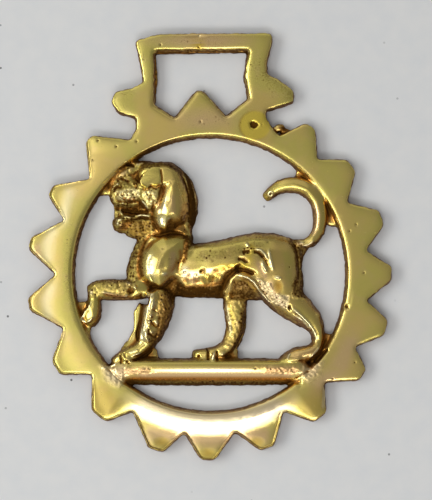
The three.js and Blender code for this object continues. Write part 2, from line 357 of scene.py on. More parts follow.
class Carving:
    # Strokes that raise or lower the front, as sculpting does, and paint the masks on the way.
    # Places, widths and heights are in mm. A positive amount of a mask adds it, a negative one wipes it.
    def __init__(self, points, front):
        self.x, self.y, self.z = points[:, 0], points[:, 1], points[:, 2]
        self.front = front
        self.masks = {name: np.zeros(len(points)) for name in maskNames}
        self.keep = np.zeros(len(points))  # where the mesh stays fine to the end

    def near(self, xs, ys, reach):
        return np.flatnonzero(
            (self.x > min(xs) - reach) & (self.x < max(xs) + reach)
            & (self.y > min(ys) - reach) & (self.y < max(ys) + reach)
        )

    def lift(self, at, weight, height, paint):
        self.z[at] += height * weight * self.front[at]
        for name, amount in paint.items():
            mask = self.masks[name]
            if amount >= 0:
                mask[at] = np.maximum(mask[at], amount * weight)
            else:
                mask[at] *= 1 + amount * weight

    def ridge(self, path, width, height, ends=0.15, **paint):
        at = self.near(*zip(*path), width)
        gap, along = awayFromPath(self.x[at], self.y[at], path)
        weight = (1 - np.minimum(gap / width, 1) ** 2) ** 2
        if ends > 0:
            weight *= 0.25 + 0.75 * np.minimum(smoothStep(along, 0, ends), smoothStep(1 - along, 0, ends))
        self.lift(at, weight, height, paint)

    def tint(self, path, width, ends=0.15, **paint):
        self.ridge(path, width, 0, ends, **paint)

    def groove(self, path, width, depth, dark=1, ends=0.15, **paint):
        self.ridge(path, width, -depth, ends, dark=dark, **paint)

    def lump(self, x, y, across, up, height, turn=0, **paint):
        at = self.near([x], [y], max(across, up))
        c, s = math.cos(math.radians(turn)), math.sin(math.radians(turn))
        u = ((self.x[at] - x) * c + (self.y[at] - y) * s) / across
        v = (-(self.x[at] - x) * s + (self.y[at] - y) * c) / up
        self.lift(at, (1 - np.minimum(np.hypot(u, v), 1) ** 2) ** 1.5, height, paint)

    def pit(self, x, y, size, depth, dark=1):
        self.lump(x, y, size, size, -depth, dark=dark)
        self.hold(x, y, size + 0.5)

    def hold(self, x, y, reach):
        self.keep[np.hypot(self.x - x, self.y - y) < reach] = 1

    def within(self, corners, soft):
        at = self.near(*zip(*corners), soft)
        gap = awayFromPath(self.x[at], self.y[at], corners + corners[:1])[0]
        side = np.where(insideShape(self.x[at], self.y[at], corners), gap, -gap)
        return at, smoothStep(side, -soft, soft)

    def plate(self, corners, level, soft=0.25, slope=(0, 0), hinge=(0, 0), **paint):
        # cuts an area to a flat that has this level at the hinge
        at, weight = self.within(corners, soft)
        flat = level + slope[0] * (self.x[at] - hinge[0]) + slope[1] * (self.y[at] - hinge[1])
        self.z[at] += (flat - self.z[at]) * weight * self.front[at]
        self.lift(at, weight, 0, paint)

    def tilt(self, corners, soft, slope, hinge):
        # leans an area over, with its relief
        at, weight = self.within(corners, soft)
        rise = slope[0] * (self.x[at] - hinge[0]) + slope[1] * (self.y[at] - hinge[1])
        self.z[at] += rise * weight * self.front[at]

    def field(self, corners, soft=0.4, height=0, **paint):
        at, weight = self.within(corners, soft)
        self.lift(at, weight, height, paint)

    def dome(self, corners, edge, rise, reach, power=2):
        # fills up to a rounded form that rises from its outline
        at, weight = self.within(corners, 0.2)
        gap = awayFromPath(self.x[at], self.y[at], corners + corners[:1])[0]
        share = np.minimum(gap / reach, 1)
        target = edge + rise * (1 - (1 - share) ** power)
        self.z[at] += np.maximum(target - self.z[at], 0) * weight * self.front[at]


def addFlash(piece, x, y, z, size):
    bpy.ops.object.select_all(action="DESELECT")
    bpy.ops.mesh.primitive_ico_sphere_add(subdivisions=3, radius=mm, location=(x * mm, y * mm, z * mm))
    scrap = bpy.context.object
    scrap.scale = size
    bpy.ops.object.transform_apply(location=False, rotation=False, scale=True)
    piece.select_set(True)
    bpy.context.view_layer.objects.active = piece
    bpy.ops.object.join()


def awayFromCentre(points):
    return np.hypot(points[:, 0], points[:, 1] - castingForm["ringCentre"])


casting = copySolid("horse_brass")
for x, y, z, size in castingForm["flash"]:  # left in the notch under the right lobe
    addFlash(casting, x, y, z, size)
applyModifier(casting, "REMESH", mode="VOXEL", voxel_size=castingForm["voxel"] * mm)
smoothPart(casting, castingForm["evenPasses"])
print("remeshed:", len(casting.data.vertices), "points")

# the plate is the ring and the hanger, and the rest is the dog with its bar
points = readPoints(casting)
plateShare = smoothStep(awayFromCentre(points), 29, 29.6) + smoothStep(points[:, 1], 24.5, 25)
plateShare = np.clip(plateShare, 0, 1)
addGroup(casting, "dog", (1 - plateShare) * smoothStep(points[:, 2], 0.6, 1.4))
smoothPart(casting, castingForm["polishPasses"], "dog")


def startCarving(piece):
    points = readPoints(piece)
    front = smoothStep(readNormals(piece)[:, 2], 0.1, 0.5) * smoothStep(points[:, 2], 0.4, 1)
    return points, Carving(points, front)


def fillForms(carve):
    skull = [(-15.2, 12.6), (-15.6, 15), (-14.8, 16.8), (-12.8, 17.6), (-10, 17.7), (-7.8, 17.1),
             (-6, 15.8), (-5.2, 13.4), (-6, 11), (-11, 11.6)]
    carve.dome(skull, 2.1, 2.6, 1.8)
    ear = [(-10.3, 14.6), (-10.1, 13), (-10.5, 11), (-11.4, 9), (-11.9, 7), (-11.8, 5), (-11, 3.6),
           (-9.5, 2.9), (-8.2, 3.1), (-7.2, 4.2), (-5.5, 4.7), (-4.9, 7), (-4.7, 9), (-5, 11.4),
           (-5.7, 13.6), (-6.8, 15.4), (-8.4, 15.8)]
    carve.dome(ear, 3.2, 2.5, 3.2)
    earTop = [(-10.6, 16.2), (-10.4, 12.6), (-8.6, 12.8), (-7, 13.4), (-7.4, 15.4), (-8.8, 16.4)]
    carve.plate(earTop, 4.95, 0.7)
    # the ear's lower end, the snout and the standing leg's front lean to the left
    earEnd = [(-11.6, 7.6), (-11.5, 4.6), (-10.6, 3.4), (-9.2, 3), (-8.7, 5), (-9.2, 7.6)]
    carve.plate(earEnd, 5.5, 0.5, slope=(0.46, 0), hinge=(-9, 0))
    snout = [(-20.2, 11.9), (-14.8, 11.9), (-14.8, 9.2), (-20.2, 9.2)]
    carve.tilt(snout, 0.6, slope=(0.2, 0), hinge=(-17.5, 0))
    legFront = [(-13, -9.8), (-13.6, -13), (-14.2, -16.4), (-14.7, -20), (-13.1, -20.2), (-12.6, -16.6),
                (-12, -13), (-11.3, -9.8)]
    carve.plate(legFront, 3.5, 0.4, slope=(0.46, -0.0828), hinge=(-12.2, -10))
    shoulder = [(-5.6, 1.2), (-7.4, 1.9), (-9.8, 1.7), (-12, 0.6), (-13.8, -1.6), (-14.7, -4.6),
                (-14.3, -7), (-12.6, -8.4), (-10.4, -8.9), (-8.8, -8), (-7.2, -6.6), (-6.6, -4.4),
                (-5.7, -2.4), (-5.2, -0.4)]
    carve.dome(shoulder, 3.5, 1.95, 3.9, power=1.4)
    leg = [(-13.5, -9.8), (-10.2, -9.8), (-10.4, -13), (-11, -17), (-11.6, -20.4), (-15, -20.4),
           (-14.5, -17), (-14.1, -13.5)]
    carve.dome(leg, 3, 1.1, 2.3, power=1)
    cheek = [(-15.4, 13), (-15.4, 10), (-14.2, 8.4), (-12.6, 7.4), (-11, 7.8), (-9.9, 10.6), (-9.9, 13),
             (-12, 13.4)]
    carve.dome(cheek, 3.9, 0.5, 0.8)
    carve.dome([(-6.8, 1.4), (-3.6, 1.4), (-4, -4), (-6.4, -6.4)], 3.2, 0.7, 1)
    # the barrel is fullest high up, so that the flank turns under
    carve.ridge([(-5, -3.4), (0, -3.1), (6, -2.4), (12, -1.6), (15, -2.2)], 6, 0.5, ends=0.25)
    carve.ridge([(-4.4, -0.3), (2, 0), (8, 1.1), (13, 1.6)], 2.2, 0.6)
    carve.ridge([(-7, -8.4), (-3, -8.9), (1, -8.7), (4, -7.6)], 4.6, -0.9, ends=0.05)
    # the standing leg's front and the bar's crest
    carve.ridge([(-11.6, -10), (-12.2, -13), (-12.9, -17), (-13.6, -19.6)], 1.3, 0.5)
    carve.ridge([(-17, -24.8), (18, -24.8)], 2.8, 0.3, ends=0.12)
    carve.tilt([(-18, -23.9), (19, -23.9), (19, -29.2), (-18, -29.2)], 0.5, slope=(0, 0.27), hinge=(0, -26.8))


def addBroadGroup(piece, carve):
    trunk = [(-5.4, -0.8), (0, -0.6), (5, 0.2), (10, 1.2), (15, 1.2), (17, -1), (17.6, -5), (17, -9),
             (18.4, -12.4), (15, -12.2), (12, -9), (9, -7.6), (5, -9.4), (-3, -9.6), (-6.2, -8.2),
             (-6.6, -5)]
    chest = [(-16.4, -0.4), (-13.4, 1), (-14, -7), (-17, -7)]
    bar = [(-17, -25), (18, -25), (18, -28.4), (-17, -28.4)]
    broad = np.zeros(len(carve.z))
    for corners in (trunk, chest, bar):
        at, weight = carve.within(corners, 0.8)
        broad[at] = np.maximum(broad[at], weight)
    addGroup(piece, "broad", broad)


points, carve = startCarving(casting)
fillForms(carve)
writePoints(casting, points)
addBroadGroup(casting, carve)
smoothPart(casting, castingForm["broadPasses"], "broad")
smoothPart(casting, castingForm["formPasses"], "dog")
print("forms filled")


# head

def carveHead(carve):
    # the face is dull and brown under curls painted with highlight
    face = [(-20.8, 12.6), (-18.8, 16.4), (-15.4, 17.8), (-14.9, 14.4), (-15, 12.2), (-13, 11.4),
            (-10.6, 11.8), (-11.4, 8), (-11.9, 3), (-15.4, 0.8), (-20, 2.4), (-21, 5), (-20.6, 8),
            (-21.6, 10)]
    carve.field(face, 0.3, warm=0.12, dark=0.52, grain=0.7, olive=0.9)
    carve.ridge([(-21.6, 11.4), (-20.7, 13.4), (-19.3, 15.4), (-17.4, 17)], 0.8, -0.2, dark=0.6, warm=0.8)
    carve.groove([(-11.6, 8.8), (-12.2, 6.8), (-12.2, 4.6), (-11.3, 3.2)], 0.5, 0.3, dark=0.4, warm=1,
                 ends=0.05)
    # the brow plate, with its two scallops, lies flush beside the top of the ear
    brow = [(-14.8, 13.3), (-14.5, 12.3), (-13.8, 11.8), (-13, 11.8), (-12.5, 12.4), (-12.3, 12.6),
            (-11.9, 12.2), (-11.2, 12.2), (-10.5, 12.7), (-10.4, 13.4), (-10.4, 16.1), (-11.6, 16.3),
            (-13.2, 15.6), (-14.3, 14.6)]
    carve.plate(brow, 4.85, 0.2, warm=-1, dark=-1, grain=-1, olive=0.6)
    carve.groove([(-10.45, 15.9), (-10.35, 15), (-10.15, 14), (-10.2, 13)], 0.3, 0.2, ends=0.05)
    carve.tint([(-10.3, 15.8), (-10.15, 14.8), (-10, 14), (-10.1, 12.6)], 0.42, ends=0.02, dark=1)
    carve.tint([(-10.2, 12.6), (-10.5, 11), (-11, 9.6), (-11.5, 8.4)], 0.55, ends=0.02, dark=0.9, warm=1)
    carve.groove([(-14.6, 12), (-13.8, 11.4), (-13, 11.4), (-12.3, 12.2), (-11.8, 11.8), (-11, 11.8),
                  (-10.2, 12.4)], 0.26, 0.2, dark=0.8)
    carve.groove([(-15, 13.6), (-14.6, 14.2), (-14, 14.5)], 0.28, 0.3, dark=0.8)
    carve.ridge([(-14.4, 12.5), (-13.4, 12)], 0.4, 0.1, golden=1)
    carve.ridge([(-12, 12.5), (-10.8, 12.6)], 0.4, 0.1, golden=1)
    # crest over it
    carve.tint([(-15.2, 15.2), (-13.8, 16.2), (-11.6, 16.8), (-8.8, 16.8), (-6.6, 15.6), (-5.6, 13.8)], 0.9,
               dark=0.62, grain=0.7)
    carve.ridge([(-15.6, 17), (-14.8, 17.6), (-13.8, 17.7)], 0.6, 0.2, dark=-1, warm=-0.6, rosy=0.6,
                shine=0.4)
    carve.ridge([(-13.2, 17.4), (-11, 17.6), (-9, 17.4)], 0.4, 0.1, dark=-0.7, rosy=0.8)
    carve.ridge([(-18, 17.2), (-16.4, 17), (-16, 16.3)], 0.4, -0.5, dark=1)
    # curls over the snout, painted with highlight
    carve.field([(-20, 11.7), (-18.4, 11.6), (-16, 11.9), (-14.8, 11.4), (-14.8, 10), (-16.4, 9.3),
                 (-18.6, 9.2), (-19.9, 9.7)], 0.25, 0.1, grain=1, shine=0.8, golden=0.85, dark=-1, warm=-1)
    for px, py, across, up, rise in ((-19.1, 11.1, 0.8, 0.65, 0.7), (-19.2, 10.3, 0.8, 0.6, 0.7),
                                     (-17.9, 10.8, 0.6, 0.5, 0.5), (-17, 10.9, 0.6, 0.5, 0.55),
                                     (-15.9, 11.2, 0.6, 0.5, 0.7), (-15.3, 10.5, 0.5, 0.7, 0.6),
                                     (-16.5, 10, 0.7, 0.35, 0.4), (-18.6, 9.9, 0.5, 0.4, 0.5)):
        carve.lump(px, py, across, up, rise * 0.6, shine=1, golden=0.2, dark=-1, warm=-1, grain=1)
    for px, py, size in ((-19.6, 10.7, 0.3), (-18.5, 10.3, 0.35), (-17.4, 10.4, 0.3), (-16.5, 11.3, 0.35),
                         (-15.8, 9.9, 0.3), (-17.5, 11.4, 0.25)):
        carve.pit(px, py, size, 0.25, dark=1)
    for px, py in ((-18, 9.7), (-17, 9.5), (-16.1, 9.5)):
        carve.lump(px, py, 0.6, 0.35, 0.45, shine=0.5, dark=-1, warm=1, rosy=0.8)
    carve.pit(-16.2, 10.5, 0.28, 0.5)
    carve.groove([(-20, 9.5), (-18.8, 9), (-17, 8.9), (-15.2, 9.1)], 0.35, 0.4, dark=0.8)
    carve.groove([(-20.4, 11.6), (-19.6, 12.2), (-18.4, 12.2)], 0.5, 0.5, dark=0.9)
    # curls on the cheek, painted with highlight
    carve.field([(-14.2, 11.5), (-12.6, 11.6), (-11.1, 11.3), (-10.8, 9.8), (-11.8, 8), (-13.2, 8.3),
                 (-14.2, 10)], 0.25, 0.1, grain=1, shine=0.6, golden=0.8, dark=-1, warm=-1)
    for px, py, across, up, rise in ((-13.6, 11, 0.6, 0.5, 0.5), (-12.7, 10.9, 0.6, 0.6, 0.6),
                                     (-12.9, 9.9, 0.6, 0.6, 0.6), (-11.9, 10.6, 0.55, 0.5, 0.6),
                                     (-11.6, 9.9, 0.4, 0.5, 0.5), (-12.1, 9.2, 0.6, 0.4, 0.45),
                                     (-12.4, 8.4, 0.7, 0.35, 0.45), (-13.4, 10.4, 0.4, 0.4, 0.4)):
        carve.lump(px, py, across, up, rise * 0.6, shine=1, golden=0.6, dark=-1, warm=-1, grain=1)
    for px, py, size in ((-13.1, 10.4, 0.3), (-12.3, 10.2, 0.25), (-12.3, 11.3, 0.3), (-11.5, 9.2, 0.3),
                         (-12.7, 9.3, 0.25)):
        carve.pit(px, py, size, 0.25, dark=0.9)
    carve.groove([(-10.6, 11.8), (-10.6, 10.6), (-11, 9.4), (-11.6, 8.2), (-12.2, 7.6)], 0.3, 0.15, dark=0.6)
    # nose, cheek fold and mouth, with painted highlight on their lumps
    carve.lump(-19.6, 12.9, 0.6, 0.45, 0.6, shine=0.9, dark=-1, warm=-0.8)
    carve.lump(-20.3, 12.4, 0.35, 0.35, 0.4, shine=0.6, dark=-1)
    carve.ridge([(-20.9, 10.2), (-20.4, 9.3)], 0.4, 0.2, dark=-0.6, shine=0.5)
    carve.lump(-20.6, 9.6, 0.5, 1.2, -0.2, dark=0.7)
    carve.lump(-18.4, 8.8, 0.4, 0.35, 0.5, shine=0.8, dark=-1)
    carve.ridge([(-14.4, 9.2), (-13.8, 8.5), (-13, 7.4)], 0.38, 0.6, shine=1, dark=-1, warm=-1)
    carve.groove([(-14.9, 9.3), (-14.6, 8.4), (-13.8, 7.6)], 0.3, 0.3, dark=0.6)
    carve.lump(-15.6, 8.6, 0.9, 0.5, 0.2, olive=1, dark=-0.5, warm=-0.6)
    carve.groove([(-20.3, 8.2), (-19, 7.4), (-17, 7.1), (-15.2, 6.9), (-12.8, 6.9)], 0.5, 0.45, dark=0.85,
                 warm=-0.9, ends=0.05)
    carve.ridge([(-19.1, 7.6), (-18.8, 6.9), (-18.5, 6.4)], 0.35, 0.7, dark=-0.9, shine=0.6)
    carve.ridge([(-18.4, 6), (-17.4, 6), (-16.5, 5.7)], 0.4, 0.4, dark=-0.8, shine=0.6)
    carve.ridge([(-15.6, 6.2), (-14.4, 6.3), (-13.4, 6.1), (-12.6, 5.9)], 0.38, 0.7, shine=1, dark=-1,
                warm=-1)
    # chin and beard, with painted highlight on their lumps
    carve.lump(-19.1, 5.3, 0.9, 0.6, 0.6, shine=1, dark=-1, warm=-1)
    carve.lump(-19.5, 4.5, 0.5, 0.6, 0.5, shine=1, dark=-1, warm=-1)
    carve.lump(-18.6, 4.1, 0.6, 0.6, 0.4, shine=0.9, dark=-1, warm=-0.8)
    carve.pit(-18.9, 4.5, 0.25, 0.4)
    carve.groove([(-18.2, 4.9), (-17.3, 5.2), (-16.2, 5.4), (-14.6, 5.7), (-12.6, 5.5)], 0.35, 0.5, dark=0.9)
    carve.field([(-18.4, 5), (-16, 5.2), (-16.4, 4.2), (-17.6, 3), (-19.6, 3)], 0.4, -0.3, dark=0.55,
                warm=0.9)
    carve.field([(-16.6, 5.2), (-12.4, 5.2), (-12, 3), (-15.3, 0.9), (-17.4, 2.6)], 0.4, 0.15, grain=0.8,
                warm=0.55, golden=0.3)
    carve.lump(-14.3, 4.4, 1, 0.8, -0.3, dark=0.5)
    # fringe over the face
    carve.lump(-18.4, 15.1, 1.7, 0.9, 0.25, 38, rosy=0.7, dark=-0.5)
    carve.lump(-16.7, 16.1, 0.9, 0.6, 0.2, 30, rosy=0.6, dark=-0.5)
    carve.lump(-17.9, 13.8, 0.6, 0.4, 0.3, dark=-0.8, shine=0.3)
    carve.lump(-16, 13.2, 1, 0.9, 0.3, warm=0.3, dark=0.3)
    carve.groove([(-19.9, 14), (-18.7, 14), (-17.4, 13.6), (-17.2, 12.9)], 0.4, 0.4, dark=0.85)
    carve.groove([(-17, 14.8), (-16.2, 14.9), (-15.4, 15.6)], 0.4, 0.3, dark=0.8)
    carve.groove([(-19.4, 16), (-17.8, 16.9), (-16.4, 16.9)], 0.3, 0.4, dark=0.9)
    carve.groove([(-15.3, 14.8), (-15.1, 14), (-15.1, 12.9)], 0.3, 0.3, dark=0.6)
    # ruff behind the ear
    carve.field([(-6, 16.2), (-5, 13.6), (-4.5, 11), (-4.3, 8), (-4.8, 4.8), (-3, 3), (-2.6, 8), (-3.6, 13),
                 (-5, 15.8)], 0.3, -0.1, dark=0.95, grain=1, warm=-0.5)
    carve.ridge([(-5.6, 16.2), (-4.1, 14.2), (-3.2, 11.5), (-2.7, 8.5), (-2.8, 5.5), (-3.1, 3)], 0.4, 0.3,
                dark=-0.6, rosy=0.6)
    carve.groove([(-6.2, 15), (-5.2, 13), (-4.5, 10.5), (-4.3, 8), (-4.5, 5.6)], 0.4, 0.4)
    carve.field([(-12, 3.6), (-10.8, 2.8), (-8, 2.6), (-7, 4.2), (-5.4, 4.4), (-4.4, 2.4), (-6.4, 2),
                 (-9, 1.6), (-12.4, 1.6)], 0.3, -0.2, dark=0.3, warm=0.7)


def carveTrunk(carve):
    carve.field([(-16.4, 1.4), (-13.4, 2.6), (-13.4, 0.8), (-14.8, -1.6), (-15.4, -5), (-15, -8.4),
                 (-18.4, -8), (-18, -3)], 0.5, -0.1, grain=0.8, dark=0.6, olive=1)
    carve.groove([(-12.4, 2.4), (-13.8, 0.6), (-14.9, -2), (-15.2, -5), (-14.7, -7.6)], 0.8, 0.15, dark=0.6,
                 warm=1, ends=0.03)
    carve.tint([(-14, 2.6), (-14.4, 0.2), (-15.6, -2.4)], 0.8, dark=0.5, warm=0.5, grain=0.6)
    carve.groove([(-12.6, 2.2), (-10.6, 1.9), (-8.6, 2.6), (-6.4, 2.4), (-4.6, 1.6)], 0.6, 0.5, dark=0.75,
                 warm=0.8)
    carve.groove([(-5.4, 1.2), (-5.3, -0.4), (-5.8, -2.6), (-6.5, -4), (-6.8, -6)], 0.6, 0.25, dark=0.3,
                 warm=0.9)
    carve.tint([(-4.9, 2), (-4.9, -0.4), (-5.2, -2.8), (-5.7, -4)], 0.75, dark=0.75, warm=1, ends=0.03)
    carve.field([(-5.8, 1.8), (-3.2, 2.4), (-2.4, 0.8), (-4, -1), (-5.4, -1.8)], 0.5, -0.1, grain=1,
                dark=0.72)
    # hollow behind the elbow
    carve.field([(-7, -6.8), (-5.6, -8.8), (-5.8, -11.8), (-8, -12.6), (-9, -10.4), (-10, -9),
                 (-8.4, -7.4)], 0.6, -0.9, dark=0.8, warm=0.5)
    carve.groove([(-13.6, -7.4), (-12.2, -8.4), (-10.8, -9), (-9.4, -9.2)], 0.5, 0.8, dark=0.7)
    # the flank, its low ribs and the dark belly
    for middle, height in ((-4.4, 0.2), (-2.9, 0.25), (-0.6, 0.3), (2, 0.3)):
        carve.lump(middle, -7.2, 0.75, 1.3, height, -12, warm=0.5)
    for px, py, across, up in ((-1.5, -5.6, 0.7, 1), (1.3, -5.8, 0.9, 0.9), (2.6, -5.2, 0.9, 0.8),
                               (4.4, -4.9, 0.9, 0.7), (-5.2, -7.6, 0.8, 0.7), (-2.8, -7.7, 0.9, 0.6)):
        carve.lump(px, py, across, up, -0.15, warm=0.9)
    carve.field([(-7, -8.8), (-4, -8.6), (0, -8.8), (3, -8), (3.4, -12), (-7, -12.6)], 0.7, dark=0.9,
                warm=0.3, grain=1)
    carve.field([(-6.4, -4.2), (-4.6, -7.2), (-5.2, -8.8), (-7, -8.4)], 0.4, 0.05, grain=0.5)
    carve.groove([(6.6, -5), (5, -5.8), (3.8, -7), (3, -8.4), (2.4, -10)], 0.9, 0.9, dark=1)
    carve.groove([(5.6, -5.3), (7.4, -5.5), (9.4, -6.3)], 0.7, 0.8, dark=0.9)
    # the thigh's front fold, raised, with painted highlight
    carve.ridge([(5.6, -6.5), (7.8, -7), (9.2, -8), (10.4, -9.8), (11.8, -11.6), (13.2, -12.9)], 0.6, 0.8,
                shine=1, dark=-0.9)
    carve.field([(4.8, -7.4), (7.6, -7.8), (9.2, -9.6), (9.8, -11.6), (4, -11.4)], 0.4, -0.5, dark=0.7,
                warm=0.5, grain=0.5)
    # scars on the haunch
    for path, width, depth in (
        ([(5.8, -3.1), (6.8, -3.2), (7.8, -3.9)], 0.75, 0.3), ([(6.7, -1.7), (8.4, -1.5)], 0.75, 0.3),
        ([(9.2, -1.6), (10.2, -1.8), (11.2, -2.8)], 0.7, 0.3), ([(6.4, -4.2), (5.2, -5)], 0.7, 0.2),
    ):
        carve.groove(path, width, depth, ends=0.02)
    carve.groove([(11, -2.5), (11.8, -3.6), (12.3, -4.8)], 0.33, 0.4, dark=0.6)
    # painted highlights along the haunch, over low ridges
    carve.ridge([(7.6, 0.2), (8.2, -0.6)], 0.4, 0.3, shine=1)
    carve.ridge([(9.2, -1.1), (10.6, -1.2), (11.6, -2.2), (12.2, -3.4)], 0.35, 0.25, shine=1)
    carve.ridge([(12.3, -1.2), (12.7, -3.2), (13.2, -5.4)], 0.45, 0.35, shine=1)
    carve.ridge([(10.9, -3.6), (11.3, -4.8), (11.8, -5.8)], 0.45, 0.3, shine=1)
    carve.lump(14.2, -7, 1, 0.45, 0.3, -8, shine=1)
    carve.lump(14.3, -8.9, 1.3, 2, -0.1, 10, warm=0.7, golden=0.8)
    carve.field([(9.8, -7), (12.6, -8.2), (13.4, -10.4), (16.6, -10.8), (16.4, -13.6), (13.6, -12.8),
                 (11, -10.4)], 0.3, 0.05, grain=0.9, shine=0.6, rosy=0.5, dark=0.3)
    carve.lump(16.7, -13.3, 0.45, 0.85, -0.5, 15, dark=1)
    for px, py, size in ((9.8, 1.6, 0.25), (10.4, 1.7, 0.2), (10.5, 1.1, 0.25), (9.9, 1, 0.2),
                         (12.2, 0.4, 0.2), (16.7, -4.8, 0.2), (-1, -2.6, 0.22), (-1.9, -5.7, 0.28),
                         (-5.4, -5.8, 0.25), (-9.9, -1, 0.2), (-8.4, -3.1, 0.22), (-1.8, -3.4, 0.15),
                         (3.4, -1.6, 0.15)):
        carve.pit(px, py, size, 0.25, dark=0.7)
    # the haunch's right side is painted in shade, with a groove and rough patches
    carve.field([(16.2, 1.2), (18.2, 1.4), (20.6, -0.6), (20.6, -8), (20, -11.4), (17.4, -11), (17, -8.6),
                 (18, -6), (17.6, -2)], 0.4, dark=0.65, warm=0.3)
    carve.groove([(17.6, 0.8), (18.3, -1.6), (18.6, -4), (18.6, -7), (17.8, -9.4)], 0.6, 0.5, dark=0.8)
    carve.field([(17.6, -7.6), (20, -7), (20, -11.6), (17, -11.4)], 0.3, 0.05, grain=1)
    carve.field([(18.6, -1.6), (20.4, -2.4), (20.4, -6.6), (19, -6.6)], 0.3, 0.05, grain=1)


# legs and feet

def carveLegs(carve):
    # raised foreleg, with painted highlight along its lower edge, elbow and paw rim
    carve.field([(-26, -7.4), (-19, -7), (-16, -8), (-16, -12), (-23.4, -10.6), (-24, -11.6), (-26.2, -11)],
                0.4, 0.03, grain=0.75, dark=0.32, warm=0.2)
    carve.ridge([(-22.8, -10), (-20.8, -10.4), (-19, -10.8), (-17.4, -11)], 0.35, 0.3, shine=1, warm=0.4)
    carve.groove([(-19.6, -7.6), (-19.2, -8.6), (-19.4, -9.4)], 0.3, 0.3, dark=0.7)
    carve.lump(-16.6, -9.9, 0.95, 1.05, -0.8, dark=0.85)
    carve.lump(-17, -8.1, 0.8, 0.5, 0.4, shine=0.9)
    carve.lump(-17.6, -10.8, 0.9, 0.4, 0.35, shine=1)
    carve.lump(-15.7, -9, 0.5, 0.7, 0.35, shine=0.6)
    carve.lump(-25.1, -10, 0.7, 0.9, 0.2, grain=0.9, shine=0.8)
    carve.ridge([(-25, -12), (-25.5, -13), (-26.4, -14), (-27, -15.6), (-26.2, -16.4), (-25.2, -16),
                 (-24.4, -15)], 0.4, 0.4, shine=1)
    carve.lump(-25.5, -14.6, 0.8, 0.9, -0.2, 30)
    # standing foreleg: painted highlight down its front, and its right side painted darker
    carve.groove([(-14.4, -10.4), (-14.2, -13), (-14.6, -16), (-15.3, -18.4), (-15.2, -20.4)], 0.4, 0.5,
                 dark=0.85)
    carve.ridge([(-12, -9.6), (-13, -11.8), (-13.5, -15), (-13.9, -17.2), (-14.7, -19), (-14.4, -20.2)],
                0.7, 0.4, shine=1)
    carve.lump(-11.8, -12.6, 0.75, 1.8, 0.25, -12, shine=1)
    carve.tint([(-12.4, -9.8), (-13, -12.4), (-13.3, -14.6)], 1.2, shine=1, warm=-1, dark=-1)
    carve.tint([(-13.6, -16.4), (-14.2, -18.6), (-14, -20.4)], 1.2, shine=1, grain=0.3, warm=-1, dark=-1)
    carve.lump(-12.3, -15, 0.8, 0.6, 0.3, 40, warm=0.3, shine=1)
    carve.lump(-12.6, -16.3, 0.7, 0.6, 0.4, 30, shine=1)
    carve.lump(-11.2, -16.5, 0.5, 0.9, 0.45, 25, shine=1)
    carve.lump(-13.6, -18.9, 0.7, 1.3, 0.35, 0, shine=1)
    carve.lump(-12.9, -20.2, 0.6, 0.6, 0.35, shine=1)
    carve.lump(-12.2, -18.5, 0.6, 0.5, 0.4, shine=0.8)
    carve.lump(-10.6, -15.4, 0.45, 0.9, -0.5, dark=1)
    carve.groove([(-13.2, -15.8), (-12.4, -15.9), (-11.8, -17), (-11, -17.5), (-10.4, -16.6)], 0.28, 0.4,
                 dark=0.9)
    carve.groove([(-12.9, -17.6), (-12.6, -18.9), (-12, -19.4), (-11.3, -19.4), (-11, -18.6)], 0.3, 0.45,
                 dark=1)
    carve.groove([(-12.8, -13.8), (-11.6, -13.9), (-10.9, -14.4), (-10.8, -13.2)], 0.25, 0.3, dark=0.6)
    carve.field([(-11, -9.6), (-8.2, -9.8), (-8, -13.4), (-9, -17), (-10.8, -20), (-11, -14)], 0.4, 0.05,
                grain=0.8, dark=0.45, warm=0.5)
    for lx, ly in ((-10.1, -10.6), (-9, -10.9), (-8.6, -11.3), (-9.8, -12.6), (-9.4, -13.6), (-10.2, -11.8)):
        carve.lump(lx, ly, 0.35, 0.35, 0.3, shine=0.8)
    carve.ridge([(-17, -22.7), (-16, -22.4), (-15.2, -22)], 0.3, 0.2, shine=0.8)
    carve.ridge([(-16.4, -23.4), (-15.4, -23.1), (-14.4, -22.8)], 0.35, 0.3, shine=1)
    carve.groove([(-18.9, -23.2), (-18.6, -24), (-18.7, -24.8)], 0.28, 0.5, ends=0)
    carve.groove([(-18, -22.9), (-17.8, -23.6)], 0.25, 0.4, ends=0)
    carve.pit(-17.4, -24.6, 0.35, 0.5)
    carve.pit(-17, -24.9, 0.3, 0.4)
    carve.groove([(-16.6, -24.4), (-14.8, -24), (-12.8, -22.6), (-11.8, -21.4)], 0.35, 0.5, dark=0.8)
    # far hind leg, with painted highlight down its front and on its foot
    carve.field([(2.4, -11.2), (9, -11), (7.6, -13), (7.8, -17), (5.8, -21.6), (3, -21.4), (3.4, -16)], 0.3,
                0.05, grain=1, warm=0.15)
    carve.ridge([(3.1, -12), (3.7, -14.4), (4.2, -17), (4.3, -19)], 0.7, 0.2, shine=1)
    carve.groove([(7.4, -13.4), (7.4, -16), (7, -18), (5.8, -20.6), (4.6, -22.6)], 0.5, 0.4, dark=0.8)
    carve.pit(6.3, -16.3, 0.35, 0.4)
    carve.lump(6.9, -16.8, 0.3, 0.3, 0.3)
    carve.groove([(-0.9, -21.4), (-0.4, -22.6), (-0.4, -24)], 0.35, 0.7, ends=0)
    carve.lump(-2.4, -22.4, 1.3, 1.3, 0.2)
    carve.pit(-2.4, -23.4, 0.35, 0.5)
    carve.lump(0.8, -23.4, 0.6, 1.3, 0.6, -15, shine=1)
    carve.groove([(1.5, -22.4), (1.5, -24.4)], 0.3, 0.5, ends=0)
    carve.lump(2.8, -23.2, 0.9, 0.9, 0.4, shine=0.5)
